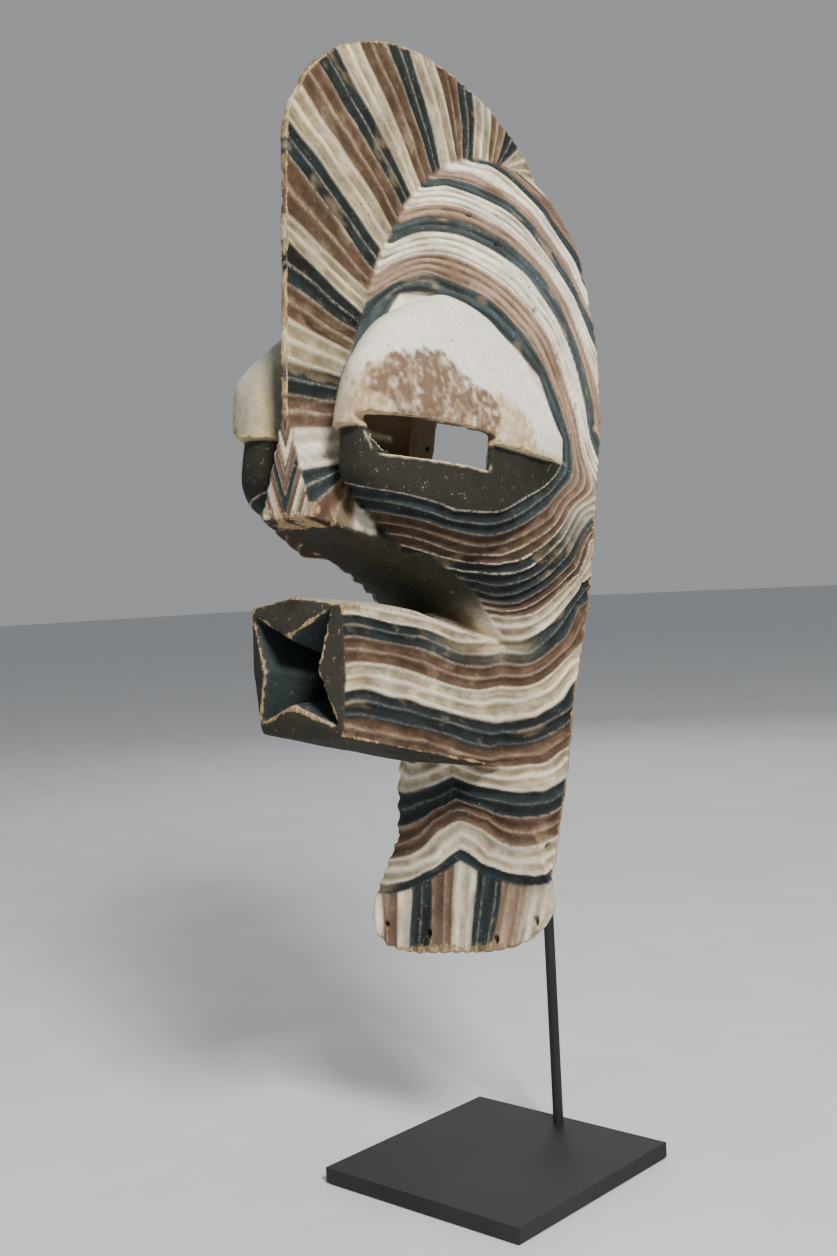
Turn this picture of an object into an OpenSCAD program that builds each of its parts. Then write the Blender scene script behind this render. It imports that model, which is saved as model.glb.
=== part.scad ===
// Tall carved mask with a crest, far-standing eyes and a box mouth, on a rod stand.
// World frame: origin on the floor under the middle of the base plate, +Z up, the
// mask faces -Y and its left side is +X. The mask is drawn upright in a frame of its
// own (rim plane at y = 0, face towards -y, lowest edge near z = 0) and then leaned.

/* [Mask] */
// How far the mask leans back on its stand, degrees
lean = 11; // [9:0.5:13]
// Distance from the floor to the mask's own origin, along the lean
mask_lift = 160; // [156:1:164]
// Distance of the rim plane in front of the leaned origin
rim_front = 50; // [46:1:54]
// Thickness of the wood round the hollow
wall = 13; // [11:1:15]

/* [Crest] */
// Thickness of the crest along its outer edge
crest_edge_t = 7; // [5:0.5:9]
// Thickness of the crest where it rises from the forehead
crest_root_t = 20; // [16:1:24]

/* [Eyes] */
// Height of the eye ridge, the lower edge of the upper lid
ridge_z = 345; // [342:1:348]
// Half width of one eye
eye_half_w = 33; // [31:1:34]
// Half length of one eye, front to back
eye_half_len = 105; // [102:1:107]
// Height of the upper lid above the ridge
lid_h = 106; // [100:1:110]
// Depth of the lower lid below the ridge
under_h = 70; // [64:1:74]
// Height of the sight slit
slit_h = 24; // [18:1:24]
// How far a slit's inner end slants away from the nose towards its sill
slit_slant = 9; // [0:1:14]

/* [Mouth] */
// Half width of the mouth box at its front
mouth_half_w = 43; // [41:1:45]
// How far the star-shaped opening tapers inwards
star_depth = 62; // [50:1:70]

/* [Chin board] */
// Thickness of the chin board
chin_t = 13; // [11:1:15]
// Diameter of the cord holes
cord_hole_d = 5; // [4:0.5:6]
// Sideways slope of the hand-cut chin, rise over run
chin_skew = 0.14; // [0.1:0.01:0.16]

/* [Stand] */
// Side of the square base plate
base_side = 180; // [176:1:190]
// Thickness of the base plate
base_t = 11; // [10:0.5:12]
// Thickness of the felt under the plate
felt_t = 1.5; // [1:0.5:2]
// Diameter of the post
post_d = 8; // [7.5:0.5:8.5]
// Distance of the post behind the middle of the plate
post_y = 77; // [76:1:78]
// Diameter of the arms and cross bars
bar_d = 6; // [5.5:0.5:6.5]
// Outer diameter of the soft sleeves
sleeve_d = 10; // [9:0.5:10]

/* [Hidden] */
$fn = 48;

wood = "burlywood";
steel = "dimgray";

// Face: height, half width at the rim plane, depth of the middle of the face
FACE = [
  [ 62, 71,  20], [ 80, 72,  22], [100, 74,  26], [136, 77,  38], [180, 79,  43],
  [222, 82,  49], [232, 83,  62], [242, 84,  78], [254, 86,  95], [264, 87, 124],
  [275, 87, 157], [300, 87, 172], [340, 87, 186], [373, 87, 190], [409, 84, 181],
  [444, 79, 172], [474, 71, 163], [500, 63, 151], [525, 54, 138], [545, 43, 122],
  [562, 31, 104], [578, 18,  82], [590,  8,  52], [598,  3,  20]];
// Hollow behind the face: height, half width and depth of the face that it follows
HOLLOW = [
  [ 74, 72,  24], [136, 77,  37], [222, 82,  46], [256, 86,  82], [290, 87, 150],
  [340, 87, 176], [409, 84, 168], [474, 71, 145], [525, 54, 120], [560, 33,  84],
  [576, 20,  50]];
// Squareness of the face's outline: rounded above the mouth, board-like at the chin
function face_n(z) = 2.1 + 1.7 * min(1, max(0, 136 - z) / 50);
// Upper lid: share of its height, then an eye row. Its front is steep for a third of
// the height and then slopes back.
LID = [
  [   0, 58,    1, 0.99, 12], [0.13, 58,    1,    1, 10], [0.26, 56, 0.94,    1,  6],
  [0.38, 54, 0.88, 0.98,  2], [0.49, 51, 0.85, 0.91,  0], [0.60, 48, 0.85, 0.82,  0],
  [0.72, 46, 0.79, 0.70,  0], [0.85, 44, 0.67, 0.50,  0], [   1, 42, 0.42, 0.21,  0]];
// Lower lid: share of its depth, then an eye row. Its lower edge dips in the middle.
UNDER = [
  [    1, 52, 0.61, 0.29,  4], [ 0.76, 56, 0.85, 0.57,  8], [0.57, 57, 0.91, 0.80, 10],
  [ 0.36, 57, 0.94, 0.93, 12], [-0.03, 57, 0.94, 0.96, 12]];
eye_n = 2.6;
eye_y = -118;
eye_rise = 0.06;
mouth_mid_z = 185;
cord_holes = [[-67, 24], [-24, 16], [38, 10], [72, 22]];
rim_hole_z = [84, 384];
// Stand: levels and positions of its pieces
plate_top = felt_t + base_t;
socket_h = 5;
screw_d = 4;
head_d = 8;
crown_y = 45;
arm_z = 694;
chin_bar_y = -11;
chin_bar_z = 218;

// Signed power of a cosine or sine: one coordinate of a rounded outline
function bow(c, r, n) = r * sign(c) * pow(abs(c), 2 / n);

// Half outline of the face, from the -x rim round the front to the +x rim
function half_ring(w, d, z, k) =
  [for (i = [0:k]) let (a = 180 + 180 * i / k)
    [bow(cos(a), w, face_n(z)), bow(sin(a), d, face_n(z)), z]];

// Outline of an eye at height h, shrunk by inset; its back end rises. A row holds the
// middle, the shares of the half width and half length, and the bend towards the nose.
function eye_ring(row, h, inset) =
  [for (i = [0:31])
    let (t = 360 * i / 32, a = row[2] * eye_half_w - inset, b = row[3] * eye_half_len - inset,
         x = bow(cos(t), a, eye_n), y = bow(sin(t), b, eye_n),
         inward = y < 0 ? row[4] * pow(y / b, 2) : 0)
    [row[1] + x - inward, eye_y + y, ridge_z + h + eye_rise * (y + 111)]];

// Solid through a stack of rings that all have the same number of points
module loft(rings) {
  m = len(rings[0]);
  last = (len(rings) - 1) * m;
  sides = [for (j = [0:len(rings) - 2]) for (i = [0:m - 1])
    let (a = j * m + i, b = j * m + (i + 1) % m)
    each [[a, b + m, b], [a, a + m, b + m]]];
  caps = [[for (i = [0:m - 1]) i], [for (i = [m - 1:-1:0]) last + i]];
  polyhedron([for (r = rings) each r], concat(sides, caps), convexity = 8);
}

// Convex solid round a list of corners, each rounded by r
module block(corners, r) {
  hull() for (p = corners) translate(p) sphere(r, $fn = 12);
}

module both_sides() {
  children();
  mirror([1, 0, 0]) children();
}

// ---- carved mask: outer forms ----

module face_form() {
  loft([for (f = FACE) half_ring(f[1], f[2], f[0], 36)]);
}

module upper_lid() {
  loft([for (row = LID) eye_ring(row, row[0] * lid_h, 0)]);
}

module lower_lid() {
  loft([for (row = UNDER) eye_ring(row, -row[0] * under_h, 0)]);
}

module nose() {
  block([for (side = [-1, 1], p = [[22, -219, 283], [40, -138, 277], [40, -109, 267],
                                   [40, -80, 258], [2.5, -227, 347], [8, -180, 372],
                                   [30, -100, 300]]) [side * p[0], p[1], p[2]]], 2);
}

// Outer edge of the crest: a straight front, then two quarter ellipses
crest_mid = [-118, 530];
function crest_edge(t) =
  t < 0.42 ? [-229 - 23 * t / 0.42, 340 + 190 * t / 0.42]
  : let (a = -90 + 137 * (t - 0.42) / 0.58)
    [crest_mid[0] + (a < 0 ? 134 : 160) * sin(a), crest_mid[1] + 107 * cos(a)];
// Line where the crest leaves the forehead, and a line buried in the wood under it
function crest_root(t) = [-bow(cos(90 * t), 188, 2.2), 366 + bow(sin(90 * t), 222, 2.2)];
function crest_buried(t) = [-bow(cos(90 * t), 172, 2.2), 360 + bow(sin(90 * t), 214, 2.2)];

module crest() {
  k = 40;
  buried = [for (i = [k:-4:0]) crest_buried(i / k)];
  edge = concat([for (i = [0:k]) crest_edge(i / k)], buried);
  root = concat([for (i = [0:k]) crest_root(i / k)], buried);
  function at(outline, x) = [for (p = outline) [x, p[0], p[1]]];
  loft([at(root, crest_root_t / 2), at(edge, crest_edge_t / 2),
        at(edge, -crest_edge_t / 2), at(root, -crest_root_t / 2)]);
}

// Half of the box's corners; the mid-line corners give it a crowned top and front
module mouth_box() {
  w = mouth_half_w - 2;
  side = [[w, -203, 226], [w - 4, -188, 146], [w + 1, -196, 186], [25, -203, 186],
          [w - 1, -137, 231], [w - 1, -30, 219], [w - 1, -25, 137]];
  mid = [[0, -205, 231], [0, -188, 142], [0, -208, 214], [0, -197, 157],
         [0, -137, 238], [0, -60, 236]];
  block(concat(mid, side, [for (p = side) [-p[0], p[1], p[2]]]), 2);
}

// Chin board: outlines of its front and its smaller back face
chin_side = [[30, 1], [50, 3], [66, 8], [77, 17], [84, 30], [82, 40], [79, 52], [74, 66],
             [67, 80], [58, 94]];
function chin_ring(inset, y) =
  let (half = [for (p = chin_side) [p[0] - inset, p[1] + (p[1] < 20 ? inset / 2 : 0)]],
       last = len(half) - 1,
       outline = concat(half, [for (i = [last:-1:0]) [-half[i][0], half[i][1]]]))
  [for (p = outline) [p[0], y, p[1] + chin_skew * p[0]]];

module chin_board() {
  loft([chin_ring(4, -8), chin_ring(1, -8 - chin_t / 2), chin_ring(0, -8 - chin_t)]);
}

// ---- carved mask: hollows and openings ----

module face_hollow() {
  loft([for (f = HOLLOW)
    let (w = f[1] - wall, ring = half_ring(w, f[2] - wall, f[0], 28))
    concat(ring, [[w, 5, f[0]], [-w, 5, f[0]]])]);
}

// Hollow behind the mouth, open to the hollow of the face
module mouth_hollow() {
  w = mouth_half_w - wall;
  block([for (x = [-w, w], p = [[-125, 212], [-125, 158], [-20, 204], [-20, 154]])
         [x, p[0], p[1]]], 2);
}

// Hollow of an eye, from under the slit to inside the lid
module eye_hollow() {
  inset = wall - 2;
  lowered = [for (row = LID) eye_ring(row, row[0] * (lid_h - inset), inset)];
  loft(concat([eye_ring(LID[0], -slit_h - 2, inset)], lowered));
}

// Cutter for a slit: it opens the front and the outer side of the eye under the ridge.
// Its inner end slants.
module sight_slit() {
  plan = [[53, -245], [125, -245], [125, -121], [66, -121], [62, -186], [53, -206]];
  lean = [1, 0, 0, 0, 0.8, 1];
  function at(h, cut_in) = [for (i = [0:5])
    [plan[i][0] + lean[i] * cut_in, plan[i][1], ridge_z + h + eye_rise * (plan[i][1] + 222)]];
  loft([at(-slit_h, slit_slant), at(0, 0)]);
}

// Four-pointed star that narrows inwards and breaks through to the hollow
module mouth_star() {
  star = [[25, 0], [38, -38], [0, -22], [-43, -38], [-25, 0], [-44, 40], [0, 20], [36, 43]];
  function at(s, y) = [for (p = star) [s * p[0], y - 0.18 * s * p[1], mouth_mid_z + s * p[1]]];
  loft([at(1.1, -217), at(0.36, -198 + star_depth), at(0.3, -110)]);
}

module mask_block() {
  difference() {
    union() {
      face_form();
      crest();
      nose();
      mouth_box();
      chin_board();
      both_sides() {
        upper_lid();
        lower_lid();
      }
    }
    face_hollow();
    mouth_hollow();
    mouth_star();
    both_sides() {
      eye_hollow();
      sight_slit();
    }
  }
}

module chin_holes() {
  for (p = cord_holes)
    translate([p[0], -8 - chin_t / 2, p[1] + chin_skew * p[0]]) rotate([90, 0, 0])
      cylinder(d = cord_hole_d, h = 3 * chin_t, center = true);
}

module rim_holes() {
  for (z = rim_hole_z, side = [-1, 1])
    translate([side * 80, -9, z]) rotate([0, 90, 0])
      cylinder(d = cord_hole_d - 1, h = 60, center = true);
}

module carved_mask() {
  color(wood) rotate([-lean, 0, 0]) translate([0, -rim_front, mask_lift]) difference() {
    resize([0, 0, 0]) mask_block();
    chin_holes();
    rim_holes();
  }
}

// ---- stand: a square plate, a post, and two arms with cross bars behind the mask ----

module base_plate() {
  color(steel) difference() {
    translate([0, 0, felt_t + base_t / 2]) cube([base_side, base_side, base_t], center = true);
    translate([0, post_y, plate_top - socket_h]) cylinder(d = post_d, h = 2 * socket_h);
    translate([0, post_y, 0]) cylinder(d = screw_d + 0.5, h = 2 * base_t);
    translate([0, post_y, felt_t - 0.1]) cylinder(d1 = head_d + 0.6, d2 = screw_d, h = 2.8);
  }
}

module base_felt() {
  color("darkolivegreen") difference() {
    translate([0, 0, felt_t / 2]) cube([base_side - 10, base_side - 10, felt_t], center = true);
    translate([0, post_y, -1]) cylinder(d = 12, h = 2 * felt_t + 2);
  }
}

// Countersunk screw up through the plate into the post, with a hexagon socket
module base_screw() {
  color("silver") translate([0, post_y, felt_t]) difference() {
    union() {
      cylinder(d1 = head_d, d2 = screw_d, h = 2.4);
      cylinder(d = screw_d, h = 17);
    }
    translate([0, 0, -1]) cylinder(d = 2.9, h = 2.4, $fn = 6);
  }
}

module post() {
  foot = plate_top - socket_h;
  color(steel) translate([0, post_y, 0]) difference() {
    union() {
      translate([0, 0, foot]) cylinder(d = post_d, h = arm_z + 7 - foot);
      translate([0, 0, arm_z + 7]) cylinder(d1 = post_d, d2 = post_d - 2, h = 1);
    }
    translate([0, 0, foot - 1]) cylinder(d = screw_d, h = 14);
  }
}

// Arm from a cross bar back to the post, coped at both ends
module arm(y, z) {
  color(steel) difference() {
    translate([0, y, z]) rotate([-90, 0, 0]) cylinder(d = bar_d, h = post_y - y);
    translate([0, y, z]) rotate([0, 90, 0]) cylinder(d = bar_d, h = 40, center = true);
    translate([0, post_y, z - 20]) cylinder(d = post_d, h = 40);
  }
}

module cross_bar(y, z, half) {
  color(steel) translate([0, y, z]) rotate([0, 90, 0])
    cylinder(d = bar_d, h = 2 * half, center = true);
}

module sleeves(y, z, inner, len) {
  color("darkslategray") both_sides() translate([inner, y, z]) rotate([0, 90, 0]) difference() {
    cylinder(d = sleeve_d, h = len);
    translate([0, 0, -1]) cylinder(d = bar_d, h = len + 2);
  }
}

module upper_arm() {
  arm(crown_y, arm_z);
}

module crown_bar() {
  cross_bar(crown_y, arm_z, 30);
}

module crown_sleeves() {
  sleeves(crown_y, arm_z, 17, 11);
}

module lower_arm() {
  arm(chin_bar_y, chin_bar_z);
}

module chin_bar() {
  cross_bar(chin_bar_y, chin_bar_z, 42);
}

module chin_sleeves() {
  sleeves(chin_bar_y, chin_bar_z, 27, 13);
}

carved_mask();
base_plate();
base_felt();
base_screw();
post();
upper_arm();
crown_bar();
crown_sleeves();
lower_arm();
chin_bar();
chin_sleeves();
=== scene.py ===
"""The carved mask on its stand: carving, pigments, stand, floor, light and camera."""
import math
import bmesh
import bpy
import numpy as np
from mathutils import Matrix, Vector


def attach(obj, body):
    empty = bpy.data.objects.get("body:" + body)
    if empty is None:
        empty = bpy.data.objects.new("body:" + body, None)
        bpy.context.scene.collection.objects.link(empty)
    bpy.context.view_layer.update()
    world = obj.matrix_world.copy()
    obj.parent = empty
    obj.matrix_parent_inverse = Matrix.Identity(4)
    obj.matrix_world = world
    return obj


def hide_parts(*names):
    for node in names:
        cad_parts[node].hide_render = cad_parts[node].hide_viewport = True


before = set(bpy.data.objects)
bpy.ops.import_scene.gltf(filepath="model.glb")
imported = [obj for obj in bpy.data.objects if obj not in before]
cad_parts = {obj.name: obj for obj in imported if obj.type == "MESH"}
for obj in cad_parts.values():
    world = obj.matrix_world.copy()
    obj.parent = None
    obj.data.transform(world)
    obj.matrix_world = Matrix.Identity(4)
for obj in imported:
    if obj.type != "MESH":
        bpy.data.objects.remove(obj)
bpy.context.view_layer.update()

# ---------------------------------------------------------------- the mask's own frame
# Design frame, in mm: rim plane at y = 0, face towards -y, drawn upright and then leaned back.
LEAN, LIFT, RIM_FRONT = math.radians(11), 160.0, 50.0
COS, SIN = math.cos(LEAN), math.sin(LEAN)
RIDGE_Y, RIDGE_Z, RISE = -111, 345.0, 0.06  # the edge between upper and lower lid, and its slope
EYE_Y, EYE_POWER = -118.0, 2.6  # middle of the eyes, and how square their outline is
FACE_LOW, FACE_HIGH = 62, 598
WALL = 13.0
CHIN_SKEW = 0.14  # rise of the chin board's foot per mm across
CHIN_Y, CORD_R = -14.5, 2.5  # middle of the chin board, and its cord holes
RIM_HOLE_Z, RIM_HOLE_R = (84, 384), 2.0
VOXEL = 0.0013  # the even mesh of the mask, in metres


def to_world(p):
    """Design mm to world metres."""
    y, z = p[:, 1] - RIM_FRONT, p[:, 2] + LIFT
    return np.stack([p[:, 0], y * COS + z * SIN, -y * SIN + z * COS], 1) / 1000


def to_design(p):
    """World metres to design mm."""
    q = p * 1000
    y, z = q[:, 1] * COS - q[:, 2] * SIN, q[:, 1] * SIN + q[:, 2] * COS
    return np.stack([q[:, 0], y + RIM_FRONT, z - LIFT], 1)


# Face: height, half width at the rim, depth. Hollow: height, and the face it follows.
FACE = np.array([
    (62, 71, 20), (80, 72, 22), (100, 74, 26), (136, 77, 38), (180, 79, 43), (222, 82, 49),
    (232, 83, 62), (242, 84, 78), (254, 86, 95), (264, 87, 124), (275, 87, 157), (300, 87, 172),
    (340, 87, 186), (373, 87, 190), (409, 84, 181), (444, 79, 172), (474, 71, 163),
    (500, 63, 151), (525, 54, 138), (545, 43, 122), (562, 31, 104), (578, 18, 82),
    (590, 8, 52), (598, 3, 20)], float)
HOLLOW = np.array([
    (74, 72, 24), (136, 77, 37), (222, 82, 46), (256, 86, 82), (290, 87, 150), (340, 87, 176),
    (409, 84, 168), (474, 71, 145), (525, 54, 120), (560, 33, 84), (576, 20, 50)], float)
# Lids: height over the ridge, middle, half width, half length, bend towards the nose
LID = np.array([
    (0, 58, 33, 104, 12), (13.8, 58, 33, 105, 10), (27.6, 56, 31, 105, 6), (40.3, 54, 29, 103, 2),
    (52, 51, 28, 95.6, 0), (63.6, 48, 28, 86, 0), (76.3, 46, 26, 73.5, 0), (90, 44, 22, 52.5, 0),
    (106, 42, 14, 22, 0)], float)
SLIT_H = 24
UNDER = np.array([
    (-70, 52, 20, 30.5, 4), (-53, 56, 28, 60, 8), (-40, 57, 30, 84, 10), (-25, 57, 29, 95.5, 12),
    (2, 57, 28.4, 97.6, 12)], float)
# Corners of the nose and of the mouth, on one side and on the middle plane
NOSE = [(22, -219, 283), (40, -138, 277), (40, -109, 267), (40, -80, 258), (2.5, -227, 347),
        (8, -180, 372), (30, -100, 300)]
MOUTH_SIDE = [(41, -203, 226), (37, -188, 146), (42, -196, 186), (25, -203, 186), (40, -137, 231),
              (40, -30, 219), (40, -25, 137)]
MOUTH_MID = [(0, -205, 231), (0, -188, 142), (0, -208, 214), (0, -197, 157), (0, -137, 238),
             (0, -60, 236)]
# Half outline of the chin board (x, z), its cord holes, and the nicks with their turn
CHIN_SIDE = [(30, 1), (50, 3), (66, 8), (77, 17), (84, 30), (82, 40), (79, 52), (74, 66), (67, 80),
             (58, 94)]
CORD_HOLES = [(-67, 24), (-24, 16), (38, 10), (72, 22)]
NICKS = [((70.4, -66.7, 455.4), 0.5), ((79.1, -47.9, 425.4), 0.25), ((84.4, -29.9, 392.4), 0.1),
         ((86, -1.6, 384.6), 0.0), ((38.6, -107, 517.4), 1.2), ((51.7, -90, 500.1), 0.9)]


def smooth_rows(rows, keys):
    """Monotone cubic through the rows of a table, read at new values of its first column."""
    x, y = rows[:, 0], rows[:, 1:]
    h, d = np.diff(x)[:, None], np.diff(y, axis=0) / np.diff(x)[:, None]
    m = np.zeros_like(y)
    same = d[:-1] * d[1:] > 0
    w1, w2 = 2 * h[1:] + h[:-1], h[1:] + 2 * h[:-1]
    safe = lambda v: np.where(np.abs(v) < 1e-9, 1e-9, v)
    m[1:-1] = np.where(same, (w1 + w2) / (w1 / safe(d[:-1]) + w2 / safe(d[1:])), 0)
    m[0], m[-1] = d[0], d[-1]
    i = np.clip(np.searchsorted(x, keys, "right") - 1, 0, len(x) - 2)
    t = np.clip((keys - x[i]) / (x[i + 1] - x[i]), 0, 1)[:, None]
    hi = h[i]
    return ((2 * t**3 - 3 * t**2 + 1) * y[i] + (t**3 - 2 * t**2 + t) * hi * m[i]
            + (3 * t**2 - 2 * t**3) * y[i + 1] + (t**3 - t**2) * hi * m[i + 1])


def face_n(z):
    """How square the face is at a height: squarer towards the chin."""
    return 2.1 + 1.7 * np.clip((136 - z) / 50, 0, 1)


def bow(c, r, n):
    """A cosine or sine bent into a superellipse of radius r and power n."""
    return r * np.sign(c) * np.abs(c) ** (2 / n)


def mesh_object(name, verts, faces):
    """New object in the scene from points and faces."""
    mesh = bpy.data.meshes.new(name)
    mesh.from_pydata([tuple(v) for v in verts], [], faces)
    mesh.validate()
    obj = bpy.data.objects.new(name, mesh)
    bpy.context.scene.collection.objects.link(obj)
    return obj


def loft(name, rings):
    """Closed solid through rings of design points."""
    m, k = len(rings[0]), len(rings)
    faces = [[j * m + i, (j + 1) * m + i, (j + 1) * m + (i + 1) % m, j * m + (i + 1) % m]
             for j in range(k - 1) for i in range(m)]
    faces += [list(range(m)), [(k - 1) * m + i for i in range(m - 1, -1, -1)]]
    obj = mesh_object(name, to_world(np.concatenate(rings)), faces)
    bm = bmesh.new()
    bm.from_mesh(obj.data)
    bmesh.ops.recalc_face_normals(bm, faces=bm.faces)
    bm.to_mesh(obj.data)
    bm.free()
    return obj


def hull(name, corners, r=0.0):
    """Convex solid round its corners, with its face planes in the design frame."""
    bm = bmesh.new()
    offs = [(0, 0, 0)] if r == 0 else [
        (r * math.cos(a) * math.cos(b), r * math.sin(a) * math.cos(b), r * math.sin(b))
        for a in np.linspace(0, 2 * math.pi, 9)[:-1] for b in (-1.1, -0.4, 0.4, 1.1)]
    for p in corners:
        for o in offs:
            bm.verts.new([p[i] + o[i] for i in range(3)])
    res = bmesh.ops.convex_hull(bm, input=bm.verts)
    gone = {v for v in res["geom_interior"] + res["geom_unused"]
            if isinstance(v, bmesh.types.BMVert)}
    bmesh.ops.delete(bm, geom=list(gone), context="VERTS")
    bmesh.ops.recalc_face_normals(bm, faces=bm.faces)
    planes = np.array([(*f.normal, f.normal.dot(f.verts[0].co)) for f in bm.faces])
    verts = to_world(np.array([v.co for v in bm.verts]))
    bm.verts.index_update()
    faces = [[v.index for v in f.verts] for f in bm.faces]
    bm.free()
    return mesh_object(name, verts, faces), planes


def half_ring(w, d, z, k):
    """Front half of a level outline of the face, from rim to rim."""
    a = math.pi + math.pi * np.arange(k + 1) / k
    n = face_n(z)
    return np.stack([bow(np.cos(a), w, n), bow(np.sin(a), d, n), np.full(k + 1, z)], 1)


def eye_ring(row, h, inset, side, k=64):
    """Outline of an eye at a height over its ridge."""
    t = 2 * math.pi * np.arange(k) / k
    a, b = row[1] - inset, row[2] - inset
    x, y = bow(np.cos(t), a, EYE_POWER), bow(np.sin(t), b, EYE_POWER)
    x = row[0] + x - np.where(y < 0, row[3] * (y / b) ** 2, 0)
    return np.stack([side * x, EYE_Y + y, RIDGE_Z + h + RISE * (EYE_Y + y - RIDGE_Y)], 1)


def crest_edge(t):
    """Point (y, z) on the crest's free edge, from the nose over the top to the back."""
    if t < 0.42:
        return (-229 - 23 * t / 0.42, 340 + 190 * t / 0.42)
    a = math.radians(-90 + 137 * (t - 0.42) / 0.58)
    return (-118 + (134 if a < 0 else 160) * math.sin(a), 530 + 107 * math.cos(a))


def crest_arc(t, ry, rz, z0):
    """Point (y, z) on a curve inside the face that the crest is rooted in."""
    a = math.radians(90 * t)
    return (-bow(math.cos(a), ry, 2.2), z0 + bow(math.sin(a), rz, 2.2))


def boolean(obj, other, kind):
    """Joins other to obj or cuts it out, and removes it."""
    mod = obj.modifiers.new("b", "BOOLEAN")
    mod.operation, mod.object = kind, other
    try:
        mod.solver = "MANIFOLD"
    except TypeError:
        mod.solver = "EXACT"
    apply(obj)
    bpy.data.objects.remove(other)


def apply(obj):
    """Applies every modifier of obj to its mesh."""
    dg = bpy.context.evaluated_depsgraph_get()
    mesh = bpy.data.meshes.new_from_object(obj.evaluated_get(dg), depsgraph=dg)
    obj.modifiers.clear()
    obj.data = mesh


def cylinder(name, centre, direction, r, length):
    """Cylinder in the design frame."""
    z = Vector(direction).normalized()
    rot = z.to_track_quat("Z", "Y").to_matrix()
    ring = []
    for h in (-length / 2, length / 2):
        ring.append(np.array([Vector(centre) + rot @ Vector((r * math.cos(a), r * math.sin(a), h))
                              for a in np.linspace(0, 2 * math.pi, 33)[:-1]]))
    return loft(name, ring)


def build_mask():
    """The carved block: forms joined, hollows and openings cut, in one mesh."""
    zs = np.unique(np.concatenate([np.linspace(FACE_LOW, FACE_HIGH, 120), FACE[:, 0]]))
    rows = smooth_rows(FACE, zs)
    mask = loft("carved_wood", [half_ring(w, d, z, 96) for z, (w, d) in zip(zs, rows)])
    k = 120
    buried = [crest_arc(1 - i / 10, 172, 214, 360) for i in range(11)]
    edge = [crest_edge(i / k) for i in range(k + 1)] + buried
    root = [crest_arc(i / k, 188, 222, 366) for i in range(k + 1)] + buried
    flat = lambda line, x: np.array([(x, p[0], p[1]) for p in line])
    adds = [loft("crest", [flat(root, 10), flat(edge, 3.5), flat(edge, -3.5), flat(root, -10)])]
    nose, nose_planes = hull("nose", [(s * p[0], p[1], p[2]) for p in NOSE for s in (1, -1)], 2)
    mouth, mouth_planes = hull(
        "mouth", MOUTH_MID + [(s * p[0], p[1], p[2]) for p in MOUTH_SIDE for s in (1, -1)], 2)
    adds += [nose, mouth]

    def chin_ring(inset, y):
        """Outline of the chin board at a depth."""
        half = [(p[0] - inset, p[1] + (inset / 2 if p[1] < 20 else 0)) for p in CHIN_SIDE]
        line = half + [(-a, b) for a, b in reversed(half)]
        return np.array([(a, y, b + CHIN_SKEW * a) for a, b in line])

    adds.append(loft("chin", [chin_ring(4, -8), chin_ring(1, CHIN_Y), chin_ring(0, -21)]))
    for side in (1, -1):
        for table, count in ((LID, 40), (UNDER, 24)):
            hs = np.linspace(table[0, 0], table[-1, 0], count)
            adds.append(loft("lid", [eye_ring(r, h, 0, side)
                                     for h, r in zip(hs, smooth_rows(table, hs))]))
    for other in adds:
        boolean(mask, other, "UNION")
    zs = np.linspace(HOLLOW[0, 0], HOLLOW[-1, 0], 60)
    cuts = []
    rings = []
    for z, (w, d) in zip(zs, smooth_rows(HOLLOW, zs)):
        ring = half_ring(w - WALL, d - WALL, z, 48)
        rings.append(np.vstack([ring, [(w - WALL, 5, z), (WALL - w, 5, z)]]))
    cuts.append(loft("hollow", rings))
    cuts.append(hull("mouth_hollow", [(x, y, z) for x in (-30, 30) for y, z in
                                      ((-125, 212), (-125, 158), (-20, 204), (-20, 154))], 2)[0])
    star = np.array([(25, 0), (38, -38), (0, -22), (-43, -38), (-25, 0), (-44, 40), (0, 20),
                     (36, 43)])
    x, z = star.T
    cuts.append(loft("star", [np.stack([s * x, y - 0.18 * s * z, 185 + s * z], 1)
                              for s, y in ((1.1, -217), (0.36, -136), (0.3, -110))]))
    for side in (1, -1):
        top = LID[-1, 0]
        hs = np.linspace(0, top, 24)
        rows = smooth_rows(LID, hs)
        inner = [eye_ring(rows[0], -SLIT_H - 2, WALL - 2, side)]
        inner += [eye_ring(r, h * (top - 11) / top, WALL - 2, side) for h, r in zip(hs, rows)]
        cuts.append(loft("eye_hollow", inner))
        plan = np.array([(53, -245), (125, -245), (125, -121), (66, -121), (62, -186), (53, -206)])
        lean = np.array([1, 0, 0, 0, 0.8, 1])
        cuts.append(loft("slit", [np.stack([side * (plan[:, 0] + lean * cut_in), plan[:, 1],
                                            RIDGE_Z + h + RISE * (plan[:, 1] + 222)], 1)
                                  for h, cut_in in ((-SLIT_H, 9), (0, 0))]))
    for x, z in CORD_HOLES:
        cuts.append(cylinder("hole", (x, CHIN_Y, z + CHIN_SKEW * x), (0, 1, 0), CORD_R, 39))
    for z in RIM_HOLE_Z:
        for side in (1, -1):
            cuts.append(cylinder("hole", (side * 80, -9, z), (1, 0, 0), RIM_HOLE_R, 60))
    for other in cuts:
        boolean(mask, other, "DIFFERENCE")
    return mask, nose_planes, mouth_planes


mask, nose_planes, mouth_planes = build_mask()
remesh = mask.modifiers.new("even", "REMESH")
remesh.mode, remesh.voxel_size, remesh.adaptivity = "VOXEL", VOXEL, 0.0
soften = mask.modifiers.new("soften", "SMOOTH")
soften.factor, soften.iterations = 0.5, 2
apply(mask)


# ---------------------------------------------------------------- fields over the surface
def read(mesh, what, width, kind=np.float32):
    """An array of one value or vector per element of a mesh."""
    out = np.empty(len(mesh) * width, kind)
    mesh.foreach_get(what, out)
    return out.reshape(-1, width) if width > 1 else out


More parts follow.
